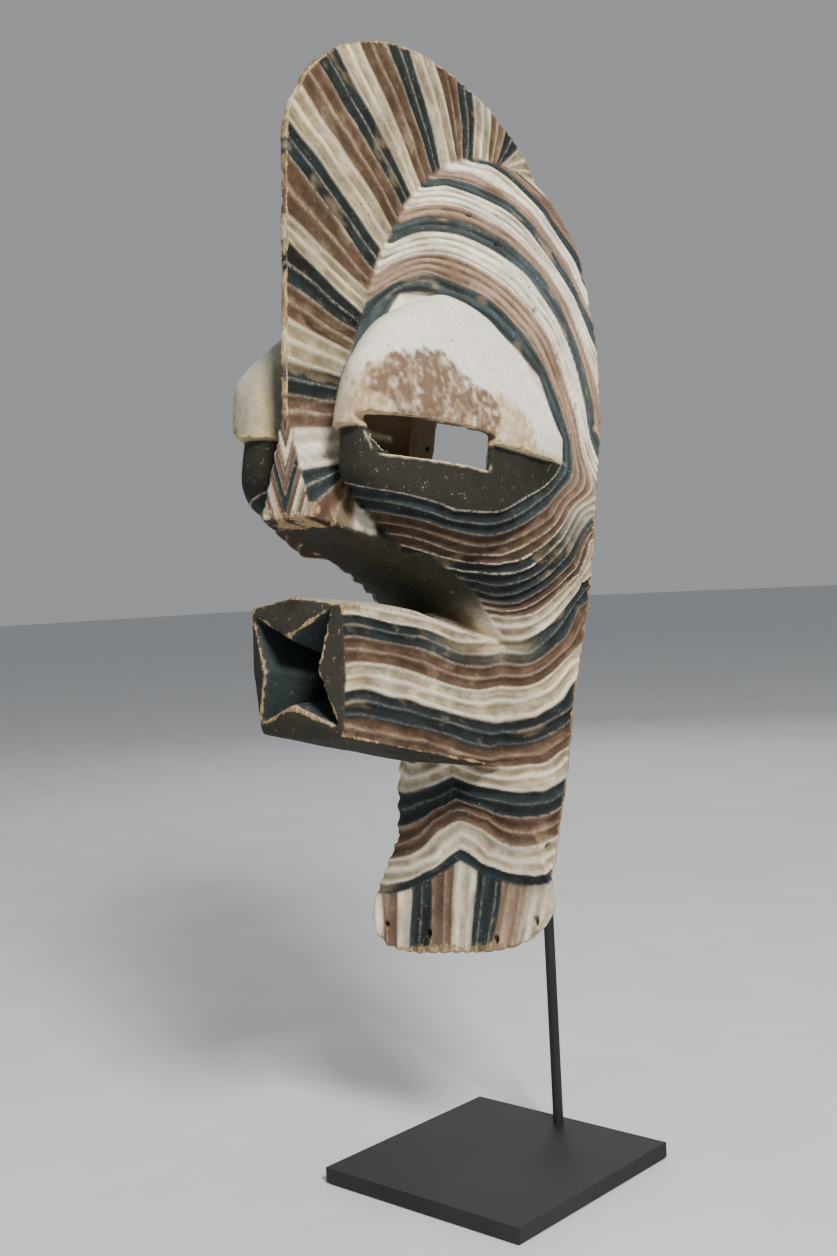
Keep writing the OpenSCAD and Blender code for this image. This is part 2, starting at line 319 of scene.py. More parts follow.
class Noise:
    """Smooth repeatable noise in 3-D, about -1 to 1."""

    def __init__(self, seed, n=24):
        self.n, self.t = n, np.random.default_rng(seed).uniform(-1, 1, (n, n, n))

    def __call__(self, p, size, octaves=1):
        out, amp, total = 0, 1.0, 0.0
        for o in range(octaves):
            q = p / size * 2**o + 7.3 * o
            i = np.floor(q).astype(int)
            f = q - i
            f = f * f * (3 - 2 * f)
            v = 0
            for dx in (0, 1):
                for dy in (0, 1):
                    for dz in (0, 1):
                        w = (np.where(dx, f[:, 0], 1 - f[:, 0]) * np.where(dy, f[:, 1], 1 - f[:, 1])
                             * np.where(dz, f[:, 2], 1 - f[:, 2]))
                        v = v + w * self.t[(i[:, 0] + dx) % self.n, (i[:, 1] + dy) % self.n,
                                           (i[:, 2] + dz) % self.n]
            out, total, amp = out + amp * v, total + amp, amp * 0.5
        return out / total * 1.4


def step(a, b, x):
    """Smooth 0 to 1 as x goes from a to b."""
    t = np.clip((x - a) / (b - a), 0, 1)
    return t * t * (3 - 2 * t)


# Carved lines: guide points (x, y, z) on one side, and the line each lies on
ARCS = np.array([
    (49, -216, 392, 0), (29, -161, 444, 0), (62, -138, 446, 0), (68, -106, 438, 0),
    (79, -67, 405, 0), (85, -45, 366, 0), (12, -172, 440, 2), (36, -146, 464, 2),
    (59, -109, 457, 2), (68, -91, 445, 2), (81, -55, 403, 2), (86, -35, 366, 2),
    (11, -165, 461, 5), (37, -138, 480, 5), (50, -116, 479, 5), (69, -73, 455, 5),
    (77, -53, 435, 5), (86, -28, 377, 5), (12, -155, 487, 8.5), (35, -128, 501, 8.5),
    (57, -82, 489, 8.5), (68, -59, 472, 8.5), (80, -29, 427, 8.5), (86, -16, 380, 8.5),
    (10, -147, 504, 10.5), (32, -123, 513, 10.5), (53, -79, 505, 10.5), (63, -54, 488, 10.5),
    (79, -23, 438, 10.5), (86, -9, 381, 10.5), (10, -142, 515, 12), (33, -112, 523, 12),
    (44, -92, 517, 12), (63, -46, 491, 12), (72, -28, 469, 12), (82, -6, 419, 12),
    (10, -129, 538, 15), (19, -114, 542, 15), (41, -76, 533, 15), (52, -55, 520, 15),
    (69, -19, 479, 15), (76, -8, 454, 15), (10, -120, 548, 17), (19, -104, 550, 17),
    (31, -84, 547, 17), (53, -45, 522, 17), (61, -27, 503, 17), (69, -11, 479, 17),
    (10, -105, 562, 18.5), (18, -87, 562, 18.5), (28, -70, 556, 18.5), (51, -33, 528, 18.5),
    (60, -16, 507, 18.5), (69, -5, 481, 18.5), (9, -87, 576, 20), (13, -62, 577, 20),
    (25, -44, 566, 20), (40, -28, 547, 20), (54, -16, 523, 20), (64, -5, 497, 20),
    (9, -65, 585, 21.5), (13, -36, 582, 21.5), (27, -22, 566, 21.5), (45, -14, 542, 21.5),
])
CHEEK = np.array([
    (50, -190, 301, 0), (79, -149, 295, 0), (85, -107, 303, 0), (86, -82, 317, 0),
    (85, -47, 347, 0), (62, -169, 293, 1), (75, -143, 290, 1), (82, -103, 297, 1),
    (83, -55, 327, 1), (85, -44, 342, 1), (62, -160, 288, 2), (72, -135, 284, 2),
    (76, -95, 291, 2), (84, -52, 319, 2), (85, -40, 338, 2), (60, -149, 282, 3),
    (61, -118, 280, 3), (73, -91, 284, 3), (84, -49, 312, 3), (86, -35, 333, 3),
    (53, -128, 276, 4), (64, -110, 274, 4), (74, -88, 277, 4), (84, -46, 306, 4),
    (86, -32, 327, 4), (56, -112, 270, 5), (64, -99, 270, 5), (74, -83, 273, 5),
    (85, -42, 302, 5), (86, -27, 322, 5), (52, -103, 264, 6), (62, -90, 264, 6),
    (72, -76, 266, 6), (85, -37, 297, 6), (86, -22, 320, 6), (51, -90, 259, 7), (59, -78, 257, 7),
    (71, -68, 260, 7), (86, -33, 292, 7), (87, -17, 317, 7), (46, -82, 254, 8), (55, -72, 251, 8),
    (67, -62, 254, 8), (86, -28, 288, 8), (87, -13, 312, 8), (46, -74, 248, 9), (54, -67, 247, 9),
    (66, -57, 249, 9), (86, -23, 283, 9), (87, -9, 308, 9), (46, -68, 243, 10),
    (54, -62, 242, 10), (65, -54, 245, 10), (86, -20, 278, 10), (87, -7, 304, 10),
    (50, -60, 239, 11), (64, -51, 240, 11), (72, -44, 244, 11), (87, -15, 275, 11),
    (87, -4, 301, 11), (43, -198, 223, 13), (42, -48, 222, 13), (56, -39, 224, 13),
    (71, -34, 233, 13), (87, -12, 270, 13), (43, -197, 216, 14), (40, -127, 216, 14),
    (42, -47, 214, 14), (61, -33, 217, 14), (78, -25, 234, 14), (43, -196, 208, 15),
    (41, -127, 208, 15), (42, -46, 206, 15), (80, -17, 230, 15), (85, -10, 251, 15),
    (43, -196, 200, 16), (41, -126, 200, 16), (42, -45, 197, 16), (61, -31, 202, 16),
    (79, -14, 223, 16), (44, -195, 190, 17), (41, -125, 190, 17), (42, -45, 190, 17),
    (61, -30, 194, 17), (80, -11, 218, 17), (43, -194, 182, 18), (41, -124, 181, 18),
    (42, -44, 181, 18), (61, -29, 186, 18), (80, -9, 212, 18), (42, -192, 175, 19),
    (41, -123, 172, 19), (42, -38, 168, 19), (64, -26, 174, 19), (79, -10, 197, 19),
    (41, -190, 166, 20), (41, -122, 164, 20), (42, -37, 160, 20), (66, -23, 167, 20),
    (79, -6, 183, 20), (40, -188, 159, 21), (40, -120, 156, 21), (42, -36, 152, 21),
    (66, -22, 158, 21), (78, -5, 174, 21), (40, -186, 152, 22), (39, -118, 148, 22),
    (42, -39, 142, 22), (67, -21, 147, 22), (78, -4, 164, 22), (67, -20, 139, 23),
    (77, -4, 153, 23), (61, -24, 131, 24), (77, -4, 146, 24), (35, -31, 120, 25),
    (57, -25, 116, 25), (69, -17, 117, 25), (76, -7, 127, 25), (20, -30, 113, 26),
    (41, -28, 109, 26), (69, -17, 107, 26), (75, -5, 115, 26), (11, -29, 108, 27),
    (32, -26, 100, 27), (68, -17, 95, 27), (75, -5, 102, 27), (9, -28, 104, 28),
    (27, -26, 96, 28), (62, -21, 82, 28), (74, -4, 91, 28), (26, -23, 83, 29), (46, -21, 74, 29),
    (68, -21, 72, 29), (73, -3, 79, 29), (25, -21, 70, 30), (46, -21, 64, 30), (67, -21, 64, 30),
    (72, -4, 68, 30), (13, -21, 69, 31), (32, -21, 61, 31), (69, -21, 53, 31), (71, -4, 58, 31),
    (17, -21, 58, 32), (32, -21, 53, 32), (70, -21, 46, 32), (78, -13, 49, 32),
])
# Crest and nose lines: which line, edge y and z, root y and z, from the nose up to the back
NOSE_TOP = 340  # below this height only the first 8 rows count, above it only those from the 5th
CREST = np.array([
    (-5, -158, 280, -162, 287), (-4.5, -171, 282, -172, 292), (-4, -186, 284, -185, 299),
    (-3, -213, 294, -200, 306), (-2, -223, 313, -200, 320), (-1, -226, 336, -197, 345),
    (0, -229, 358, -192, 364), (1, -232, 381, -186, 382), (2, -237, 407, -180, 399),
    (3, -240, 430, -177, 414), (4, -243, 459, -178, 430), (5, -245, 475, -173, 446),
    (6, -250, 515, -171, 465), (7, -250, 538, -163, 481), (8, -244, 565, -155, 499),
    (9, -230, 586, -146, 517), (10, -211, 602, -139, 531), (11, -192, 615, -130, 542),
    (12, -167, 624, -121, 558), (13, -142, 630, -111, 563), (14, -116, 632, -94, 574),
    (15, -93, 632, -88, 580), (16, -74, 630, -75, 586), (17, -54, 622, -58, 591),
    (18, -35, 615, -44, 594), (19, -22, 604, -31, 596)], float)


def rbf(points, values, at, slack=0.3):
    """Linear radial function through scattered values."""
    n = len(points)
    r = np.linalg.norm(points[:, None] - points[None], axis=2)
    poly = np.hstack([np.ones((n, 1)), points / 100])
    m = np.zeros((n + 4, n + 4))
    m[:n, :n], m[:n, n:], m[n:, :n] = r + slack * np.eye(n), poly, poly.T
    w = np.linalg.solve(m, np.concatenate([values, np.zeros(4)]))
    out = np.empty(len(at))
    for i in range(0, len(at), 20000):
        a = at[i:i + 20000]
        d = np.sqrt(((a[:, None] - points[None]) ** 2).sum(2))
        out[i:i + 20000] = d @ w[:n] + w[n] + a / 100 @ w[n + 1:]
    return out


def crest_value(p, rows):
    """Which line of the crest's fan a point lies on."""
    at, e, r = rows[:, 0], rows[:, 1:3], rows[:, 3:]
    d = r - e
    q = p[:, None, 1:3] - e[None]
    cross = (d[None, :, 0] * q[:, :, 1] - d[None, :, 1] * q[:, :, 0]) / np.linalg.norm(d, axis=1)
    sign = cross > 0
    flips = sign[:, :-1] != sign[:, 1:]
    i = np.where(flips.any(1), flips.argmax(1), np.where(sign[:, 0], len(rows) - 2, 0))
    k = np.arange(len(p))
    a, b = cross[k, i], cross[k, i + 1]
    t = np.clip(a / np.where(np.abs(a - b) < 1e-6, 1e-6, a - b), -2, 3)
    return at[i] + t * (at[i + 1] - at[i])


def hull_depth(planes, p):
    """How deep a point lies inside a convex solid."""
    out = np.full(len(p), 1e9)
    for q in planes:
        out = np.minimum(out, q[3] - p @ q[:3])
    return out


def face_depth(p):
    """How deep a point lies inside the face, in mm."""
    w, d = smooth_rows(FACE, np.clip(p[:, 2], FACE_LOW, FACE_HIGH)).T
    n = face_n(p[:, 2])
    v = (np.abs(p[:, 0]) / w) ** n + (np.abs(np.minimum(p[:, 1], 0)) / d) ** n
    deep = (1 - v ** (1 / n)) * np.minimum(w, d)
    return np.minimum(deep, np.minimum(p[:, 2] - (FACE_LOW - 2), FACE_HIGH + 2 - p[:, 2]))


def eye_depth(table, p):
    """How deep a point lies inside an upper or a lower lid, in mm."""
    h = p[:, 2] - RIDGE_Z - RISE * (p[:, 1] - RIDGE_Y)
    r = smooth_rows(table, np.clip(h, table[0, 0], table[-1, 0]))
    y = p[:, 1] - EYE_Y
    x = np.abs(p[:, 0]) - r[:, 0] + np.where(y < 0, r[:, 3] * (y / r[:, 2]) ** 2, 0)
    v = (np.abs(x) / r[:, 1]) ** EYE_POWER + (np.abs(y) / r[:, 2]) ** EYE_POWER
    return np.minimum((1 - v ** (1 / EYE_POWER)) * r[:, 1],
                      np.minimum(h - table[0, 0], table[-1, 0] - h) + 1)


mesh = mask.data
co = read(mesh.vertices, "co", 3).astype(float)
nor = read(mesh.vertex_normals, "vector", 3).astype(float)
edges = read(mesh.edges, "vertices", 2, np.int32)
P = to_design(co)
N = np.stack([nor[:, 0], nor[:, 1] * COS - nor[:, 2] * SIN, nor[:, 1] * SIN + nor[:, 2] * COS], 1)
degree = np.bincount(edges.ravel(), minlength=len(P))[:, None]


def around(v):
    """Mean over each vertex's neighbours."""
    v = v.reshape(len(v), -1)
    a, b = edges[:, 0], edges[:, 1]
    out = np.stack([np.bincount(a, v[b, k], len(v)) + np.bincount(b, v[a, k], len(v))
                    for k in range(v.shape[1])], 1)
    out = out / degree
    return out if out.shape[1] > 1 else out[:, 0]


bulge = ((P - around(P)) * N).sum(1)
for _ in range(2):
    bulge = 0.5 * bulge + 0.5 * around(bulge)
S = np.stack([np.abs(P[:, 0]), P[:, 1], P[:, 2]], 1)
skewed = S.copy()
skewed[:, 2] -= CHIN_SKEW * P[:, 0] * np.clip((140 - P[:, 2]) / 50, 0, 1)
n1, n2, n3, n4 = (Noise(s) for s in (1, 2, 3, 4))
X, Y, Z = S[:, 0], P[:, 1], P[:, 2]
d_face, d_lid, d_under = face_depth(P), eye_depth(LID, P), eye_depth(UNDER, P)
d_nose, d_mouth = hull_depth(nose_planes, P), hull_depth(mouth_planes, P)
deepest = np.max([d_face, d_lid, d_under, d_nose, d_mouth], axis=0)
inside = step(3.0, 5.0, deepest)
outside = 1 - inside
rim = step(-2.5, -0.5, Y)
lid = (d_lid > -1.5) & (d_face < 2.0) & (inside < 0.5)
under = (d_under > -1.5) & (d_face < 2.0) & (inside < 0.5) & ~lid
crest = (X < 11.5) & (d_face < -1.0) & (Z > 338) & (d_lid < -1.5) & (d_nose < -1.0)
nose = (d_nose > -1.5) & (d_face < 2.5) & ~lid & ~under & (Z > 262)
mouth = (d_mouth > -1.5) & (Y < -46) & (Z < 245)
star = (d_mouth > 2.0) & (Y < -70) & (Z < 245)
front = nose & (N[:, 1] < -0.8) & (np.abs(N[:, 0]) < 0.5)
below_nose = (N[:, 2] < -0.55) & (X < 46) & (Z > 225) & (Z < 300) & ~lid & ~under
below_mouth = mouth & (N[:, 2] < -0.7)
above_mouth = mouth & (N[:, 2] > 0.6)
mouth_front = mouth & (N[:, 1] < -0.5)

# ---- line numbers of each field, wandering a little as hand-cut lines do
wander = n1(S, 60.0) * 0.16 + n2(S, 22.0) * 0.09
side_noise = n3(P, 90.0) * 0.15
arcs = rbf(ARCS[:, :3], ARCS[:, 3], S) + wander + side_noise
cheek = rbf(CHEEK[:, :3], CHEEK[:, 3], skewed) + wander + side_noise
fan = np.where(Z > NOSE_TOP, crest_value(S, CREST[4:]), crest_value(S, CREST[:8])) + 0.6 * wander
upper = step(318, 362, Z)
value = arcs * upper + cheek * (1 - upper)
beard_u = P[:, 0] / 10.6 * (1 - 0.0022 * (skewed[:, 2] - 10)) + 0.15 * n2(S, 40.0)
front_v = (Z - 2.6 * X - 283) / 12.5 + 0.3 * wander

# Pigments; the last, a dark olive, is darkened into painted shade for the lower lids, the
# undersides and the mouth's front
PALE, CREAM, TEAL, BROWN, PINK, GREY, SHADED_OLIVE = (np.array(c) for c in (
    (0.68, 0.64, 0.54), (0.58, 0.52, 0.40), (0.019, 0.029, 0.033), (0.135, 0.086, 0.058),
    (0.28, 0.195, 0.14), (0.040, 0.056, 0.060), (0.027, 0.025, 0.018)))
# Bare wood: along the rim, and inside the hollow
RAW, INNER = np.array((0.46, 0.33, 0.17)), np.array((0.20, 0.135, 0.075))
# Upper lid: its white, the rubbed patch, the yellow round it, at its edges and along its lip
LID_WHITE, LID_PATCH, LID_YELLOW, LID_EDGE, LID_LIP = (np.array(c) for c in (
    (0.74, 0.71, 0.62), (0.135, 0.085, 0.055), (0.43, 0.30, 0.15), (0.52, 0.39, 0.20),
    (0.50, 0.37, 0.19)))
# Grey bloom on the lids' inner sides; the far copy is darker, painted shade on the far lid
BLOOM, BLOOM_AND_FAR_SHADE = np.array((0.33, 0.31, 0.24)), np.array((0.27, 0.255, 0.20))
# Pale line along a sharp edge: worn pigment on the slit's sill, worn pigment and painted highlight
# on the groove crests; smears over dark and over bright pigment, inside of a nick
PALE_LINE = (0.60, 0.53, 0.40)
SMEAR_DARK, SMEAR_BRIGHT = np.array((0.30, 0.235, 0.15)), np.array((0.34, 0.29, 0.20))
NICK = np.array((0.02, 0.016, 0.012))
# Bands of pigment: the last line number of each band, and its pigment
ARC_BANDS = [(0, PALE), (2, GREY), (5, PINK), (8.5, PALE), (10.5, GREY), (12, PINK), (15, PALE),
             (17, GREY), (18.5, PINK), (20, PALE), (21.5, TEAL), (24, BROWN), (99, CREAM)]
# from line 2 to 5 the brown is darkened: its own dark brown, and painted shade under the eye's
# overhang
CHEEK_BANDS = [(2, TEAL), (5, BROWN * 0.6), (9, TEAL), (11, BROWN * 0.8), (13, CREAM), (15, TEAL),
               (17, BROWN), (19.2, CREAM), (21.2, TEAL), (23, BROWN), (25, CREAM), (27, TEAL),
               (29, BROWN), (31, CREAM), (99, TEAL)]
FAN_BANDS = [(-5, BROWN), (-4.5, TEAL), (-4, PALE), (-3, BROWN), (-2, TEAL), (-1, PALE),
             (0, BROWN), (1, TEAL), (2, CREAM), (3, BROWN), (4, TEAL), (5, CREAM), (6, BROWN),
             (7, TEAL), (8, CREAM), (9, BROWN), (10, TEAL), (11, CREAM), (12, BROWN), (13, TEAL),
             (14, CREAM), (15, BROWN), (16, TEAL), (17, PALE), (18, PINK), (19, TEAL), (99, CREAM)]
BEARD_BANDS = [(-6.4, CREAM), (-5, BROWN), (-3.9, CREAM), (-2.2, TEAL), (-0.4, BROWN), (1.4, CREAM),
               (3.4, TEAL), (5.4, PINK), (99, CREAM)]
FRONT_BANDS = [(-3, CREAM), (-2, BROWN), (-1, CREAM), (0, BROWN), (1, TEAL), (2.5, BROWN),
               (3.4, CREAM), (5.2, BROWN), (99, CREAM)]


def bands(value, table, edge=0.09):
    """Pigment by line number, with a narrow soft join."""
    out = np.repeat(table[0][1][None], len(value), 0)
    for (top, _), (_, colour) in zip(table[:-1], table[1:]):
        t = step(top - edge, top + edge, value)[:, None]
        out = out * (1 - t) + colour * t
    return out


def flute(v, sharp=1.0):
    """Scooped grooves between sharp lines at whole numbers: 0 on a line, -1 in the middle."""
    return 0.14 - np.sqrt(np.abs(np.sin(math.pi * v)) ** (2 * sharp) + 0.02)


def put(base, where, value):
    """Lays value over base, as strongly as where says."""
    t = where[:, None] if base.ndim > 1 else where
    return base * (1 - t) + value * t


def soft(where):
    """A set of vertices as a weight with a soft edge."""
    v = where.astype(float)
    for _ in range(2):
        v = 0.5 * v + 0.5 * around(v)
    return v


# ---- soft masks of the mask's regions
h_lid = Z - RIDGE_Z - RISE * (Y - RIDGE_Y)
m_eye, m_crest, m_nose, m_mouth = (soft(v) for v in (lid | under, crest, nose, mouth))
m_lid = m_eye * step(-0.9, 0.9, h_lid) * np.maximum(step(0.1, -0.05, arcs), step(352, 346, Z))
m_under = m_eye * step(0.9, -0.9, h_lid) * step(0.04, -0.1, cheek)
m_front, m_below, m_star = soft(front), soft(below_nose | below_mouth), soft(star)
m_top, m_mfront = soft(above_mouth), soft(mouth_front | star)
beard = step(-0.12, 0.12, cheek - CHEEK[-1, 3]) * (Z < 90)

# ---- depth of the carving, in mm: ridges over the forehead, scooped grooves elsewhere
cut_arcs = -2.2 * (1 - np.abs(np.cos(math.pi * value)) ** 0.7) * step(-0.1, 0.4, value)
cut_arcs = cut_arcs * (0.65 + 0.4 * step(-60, -150, Y) + 0.3 * n4(S, 30.0))
cut_cheek = flute(value) * (3.1 - 0.7 * step(20, 30, value)) * (0.92 + 0.2 * n4(S, 30.0))
cut_cheek = cut_cheek * step(-0.3, 0.1, value)
cut = cut_arcs * upper + cut_cheek * (1 - upper)
cut = put(cut, beard, flute(beard_u, 0.9) * 1.3)
side_on = step(0.3, 0.85, np.abs(N[:, 0]))
cut = put(cut, m_crest, flute(2 * fan) * 1.8 * side_on)
cut = put(cut, m_nose, flute(2 * fan) * 1.7)
cut = put(cut, m_front, flute(front_v) * 1.1)
for plain in (m_lid, m_under, m_below, m_top, m_mfront):
    cut = put(cut, plain, 0)
back = soft((N[:, 1] > 0.5) & (Z < 82) & (Y > -17))  # the chin board's back
cut = cut * outside * (1 - rim) * (1 - back)
phase = value
for where, v in ((beard, beard_u), (m_crest, 2 * fan), (m_nose, 2 * fan), (m_front, front_v)):
    phase = np.where(where > 0.5, v, phase)
steady = step(0.5, 0.2, np.abs(phase - around(phase)))
gouge = np.abs(n1(P * (1, 1, 0.45), 13.0)) ** 0.7 + 0.4 * np.abs(n2(P, 9.0))
edge_on = m_crest * step(0.8, 0.45, np.abs(N[:, 0]))
carve = cut - 1.3 * edge_on * step(0.1, 0.7, n3(P, 9.0, 2)) - inside * (1 - m_star) * gouge
carve += (m_lid + m_under + m_mfront + m_below) * 0.22 * n3(P, 14.0, 2) * outside
chips = step(0.45, 0.75, n2(P, 7.0, 2)) * step(0.05, 0.14, bulge) * outside
carve -= 1.5 * chips
nicks = np.zeros(len(P))
for at, turn in NICKS:
    q = P - at
    along = q[:, 2] * math.cos(turn) + q[:, 1] * math.sin(turn)
    across = np.hypot(q[:, 2] * math.sin(turn) - q[:, 1] * math.cos(turn), q[:, 0])
    nicks = np.maximum(nicks, step(1.0, 0.4, np.hypot(along / 5.0, across / 2.0)))
carve -= 3.0 * nicks * outside
carve += 0.35 * n4(P, 26.0) * outside
P2 = P + N * carve[:, None]
mesh.vertices.foreach_set("co", to_world(P2).astype(np.float32).ravel())
mesh.update()

# ---- pigment, wear and lines as vertex attributes
fade = step(286, 348, Z)[:, None]
colour = bands(value, ARC_BANDS) * fade + bands(value, CHEEK_BANDS) * (1 - fade)
colour = put(colour, beard, bands(beard_u, BEARD_BANDS))
colour = put(colour, m_crest, bands(fan, FAN_BANDS) * (0.86, 0.85, 0.78))
colour = put(colour, m_nose, bands(fan, FAN_BANDS))
colour = put(colour, m_front, bands(front_v, FRONT_BANDS))
colour = put(colour, m_lid, LID_WHITE)
# painted shade: the lower lids and the band just under the lids' ridge get dark olive pigment
# darkened for the shade under the overhang
below_ridge_shade = step(0.9, -0.9, h_lid) * step(0.05, -0.1, value) * outside * (1 - m_nose) * (Z > 280)
colour = put(colour, np.maximum(m_under, below_ridge_shade), SHADED_OLIVE * 0.7)
# painted shade: the faces turned down under the nose and the mouth get the dark olive
colour = put(colour, m_below, SHADED_OLIVE)
# the mouth's front: dark olive pigment, partly darkened as painted shade
colour = put(colour, m_mfront, SHADED_OLIVE * 1.1)
colour = put(colour, m_top, CREAM * 0.8)
colour = put(colour, m_star, GREY * 0.65)
colour = put(colour, inside * (1 - m_star), INNER * 0.7)
colour = put(colour, back * outside, INNER * 0.9)
colour = put(colour, rim * (1 - inside), RAW * 0.55)
# pale lines along the sharp crests of the grooves, worn pigment and painted highlight, some
# brighter than others
LINES = np.array([1, .3, .3, .35, .6, 1, .9, .35, .35, .35, .6, 1, 1, 1, .3, .3, .3, .8, .9, 1, .3,
                  .25, .3, .9, 1, .5, .25, .5, .5, 1, 1, .7, .3])
strength = LINES[np.clip(np.round(value), 0, len(LINES) - 1).astype(int)] * (1 - upper)
strength = strength * np.where(strength < 0.55, 0.6, 1)
strength = put(put(put(strength, beard, 0.25), m_crest, 0.26), m_nose, 0.32)
for plain in (m_lid, m_under, m_below, m_mfront, m_top, rim):
    strength = strength * (1 - plain)
strength = np.clip(strength * (0.75 + 0.55 * n3(S, 16.0, 3)), 0, 1)
strength = strength * steady * outside * (1 - back)
slit = m_eye * (X > 48) * step(-30, -25, h_lid) * step(2.5, 0.5, h_lid) * (Y < -105)
sill = slit * step(-12, -18, h_lid) + slit * (Y < -175) * step(-2, -6, h_lid)
colour = put(colour, np.clip(sill, 0, 1) * step(0.05, 0.16, bulge), np.array(PALE_LINE))
# rubbed pale patch over the root of the mouth
rub_root = np.exp(-(((X - 44) / 16) ** 2 + ((Y + 60) / 34) ** 2 + ((Z - 226) / 12) ** 2))
colour = put(colour, np.clip(1.5 * rub_root + 0.5 * n2(P, 10.0, 3) * rub_root, 0, 0.85), CREAM)
# brown rubbed patch low on the front of each lid, yellow below and towards the nose
mottle = n2(P, 9.0, 3) + 0.6 * n1(P * (1, 1, 0.6), 3.0, 2)
grain = 1.1 * n4(P * (1, 1, 0.7), 2.8, 2) + 0.6 * n2(P, 6.0, 2)


def spot(y, h, ry, rh):
    """Oval on the side of the lids: 1 in its middle, 0 on its outline."""
    return 1 - ((Y - y) / ry) ** 2 - ((h_lid - h) / rh) ** 2


outer = m_lid * step(34, 50, X)
border = np.maximum(spot(-182, 4, 52, 44), spot(-122, 0, 44, 34))
border = step(-0.3, 0.3, border + 0.3 * mottle) * outer
patch = np.maximum(spot(-177, 27, 42, 27), spot(-134, 20, 16, 16))
patch = step(-0.15, 0.35, patch + 0.3 * mottle) * outer
grey = m_lid * (1 - step(34, 56, X)) * step(-0.3, 0.6, spot(-195, 28, 60, 56) + 0.4 * mottle)
colour = put(colour, np.clip(0.9 * border * (0.9 + 0.5 * grain), 0, 0.95), LID_YELLOW)
colour = put(colour, np.clip(0.85 * patch * (1 + 0.5 * grain), 0, 0.95), LID_PATCH)
colour = put(colour, 0.85 * grey, BLOOM)
# grey bloom and painted shade over the front of the far lid, which is turned from the light
far_bloom_and_shade = m_lid * (P[:, 0] < 0) * (1 - step(48, 76, X))
far_bloom_and_shade = far_bloom_and_shade * step(-0.9, 0.1, spot(-205, 25, 80, 60) + 0.5 * mottle)
colour = put(colour, 0.8 * far_bloom_and_shade, BLOOM_AND_FAR_SHADE)
front_edge = m_lid * step(-206, -216, Y + 0.1 * h_lid) * step(46, 34, X)
colour = put(colour, np.clip(0.8 * front_edge * (0.7 + 0.5 * mottle), 0, 1), LID_EDGE)
colour = put(colour, m_lid * step(7, 1, h_lid) * 0.7, LID_LIP)
# thin streaks along each line, uneven strength of the pigment, and warm smears
streak = n3(np.stack([phase * 9, Y * 0.22, Z * 0.22], 1), 4.0, 2)
striped = outside * (1 - m_eye) * (1 - m_mfront) * (1 - m_below) * (1 - back)
colour = colour * (1 + 0.38 * streak * striped)[:, None]
smear = n2(np.stack([phase * 9, Y * 0.5, Z * 0.5], 1), 7.0, 3) + 0.35 * n4(P, 40.0)
smear = step(0.30, 0.8, smear) * striped
bright = step(0.15, 0.35, colour.mean(1))[:, None]
colour = put(colour, 0.55 * smear, SMEAR_DARK * (1 - bright) + SMEAR_BRIGHT * bright)
colour = colour * (1 + 0.22 * n4(P, 34.0, 3) * (1 - 0.7 * m_lid))[:, None]
stain = 0.42 * step(0.2, 0.8, n1(P, 26.0, 4)) * outside * (1 - m_lid)
colour = colour * (1 - stain[:, None] * (0.7, 0.85, 1))
# wear down to the wood: sharp edges, mouth and nose, the crest's edge, chips and the foot
sharp = step(0.05, 0.16, bulge) * outside
wear = np.clip(sharp * (0.8 + 0.5 * n1(P, 9.0, 3)), 0, 1)
wide = bulge
for _ in range(9):
    wide = 0.4 * wide + 0.6 * around(wide)
uneven = n2(P, 8.0, 3)
blunt = (m_mouth + 0.6 * m_nose) * step(0.03, 0.08, wide)
wear = np.maximum(wear, blunt * (0.62 + 0.9 * uneven) * outside)
wear = np.maximum(wear, edge_on * (0.55 + 0.6 * uneven))
tip = m_nose * step(300, 284, Z) * step(-196, -206, Y)
wear = np.maximum(wear, tip * (0.45 + 0.7 * uneven))
wear = wear * (1 - 0.8 * slit)
chin_joint = (X > 58) & (X < 82) & (Y < -12) & (Z > 40) & (Z < 112)
wear = wear * np.where(chin_joint, 0.2, 1)
wear = np.maximum(wear, chips)
wear = np.maximum(wear, step(14, 4, skewed[:, 2]) * 0.6 * outside)
wear = wear * (1 - inside)
colour = put(colour, 0.9 * nicks * outside, NICK)
valley = np.clip(-cut / (2.2 - 0.9 * upper), 0, 1) * outside
pigment = np.hstack([np.clip(colour, 0, 1), np.ones((len(P), 1))])
for name, values, kind, what in (
        ("Pigment", pigment, "FLOAT_COLOR", "color"), ("Wear", wear, "FLOAT", "value"),
        ("Valley", valley, "FLOAT", "value"), ("Phase", phase, "FLOAT", "value"),
        ("RubbedAndLit", strength, "FLOAT", "value")):
    layer = mesh.attributes.new(name, kind, "POINT")
    layer.data.foreach_set(what, np.ascontiguousarray(values, np.float32).ravel())
mesh.polygons.foreach_set("use_smooth", np.ones(len(mesh.polygons), bool))


# ---------------------------------------------------------------- materials
def shader(name):
    """New material, its node tree and its shader node."""
    material = bpy.data.materials.new(name)
    material.use_nodes = True
    tree = material.node_tree
    return material, tree, tree.nodes["Principled BSDF"]


def node(tree, kind, **inputs):
    """New node: _x sets a property, i0 an input by number, any other name an input."""
    n = tree.nodes.new(kind)
    for key, value in inputs.items():
        if key.startswith("_"):
            setattr(n, key[1:], value)
            continue
        by_number = key[0] == "i" and key[1:].isdigit()
        socket = n.inputs[int(key[1:]) if by_number else key.replace("_", " ")]
        if isinstance(value, bpy.types.NodeSocket):
            tree.links.new(value, socket)
        else:
            socket.default_value = value
    return n


def math_node(tree, op, a, b=0.0, c=0.0):
    return node(tree, "ShaderNodeMath", _operation=op, i0=a, i1=b, i2=c).outputs[0]


def ramp(tree, value, low, high):
    """Smooth 0 to 1 as value goes from low to high."""
    return node(tree, "ShaderNodeMapRange", _interpolation_type="SMOOTHSTEP", Value=value,
                From_Min=low, From_Max=high).outputs["Result"]


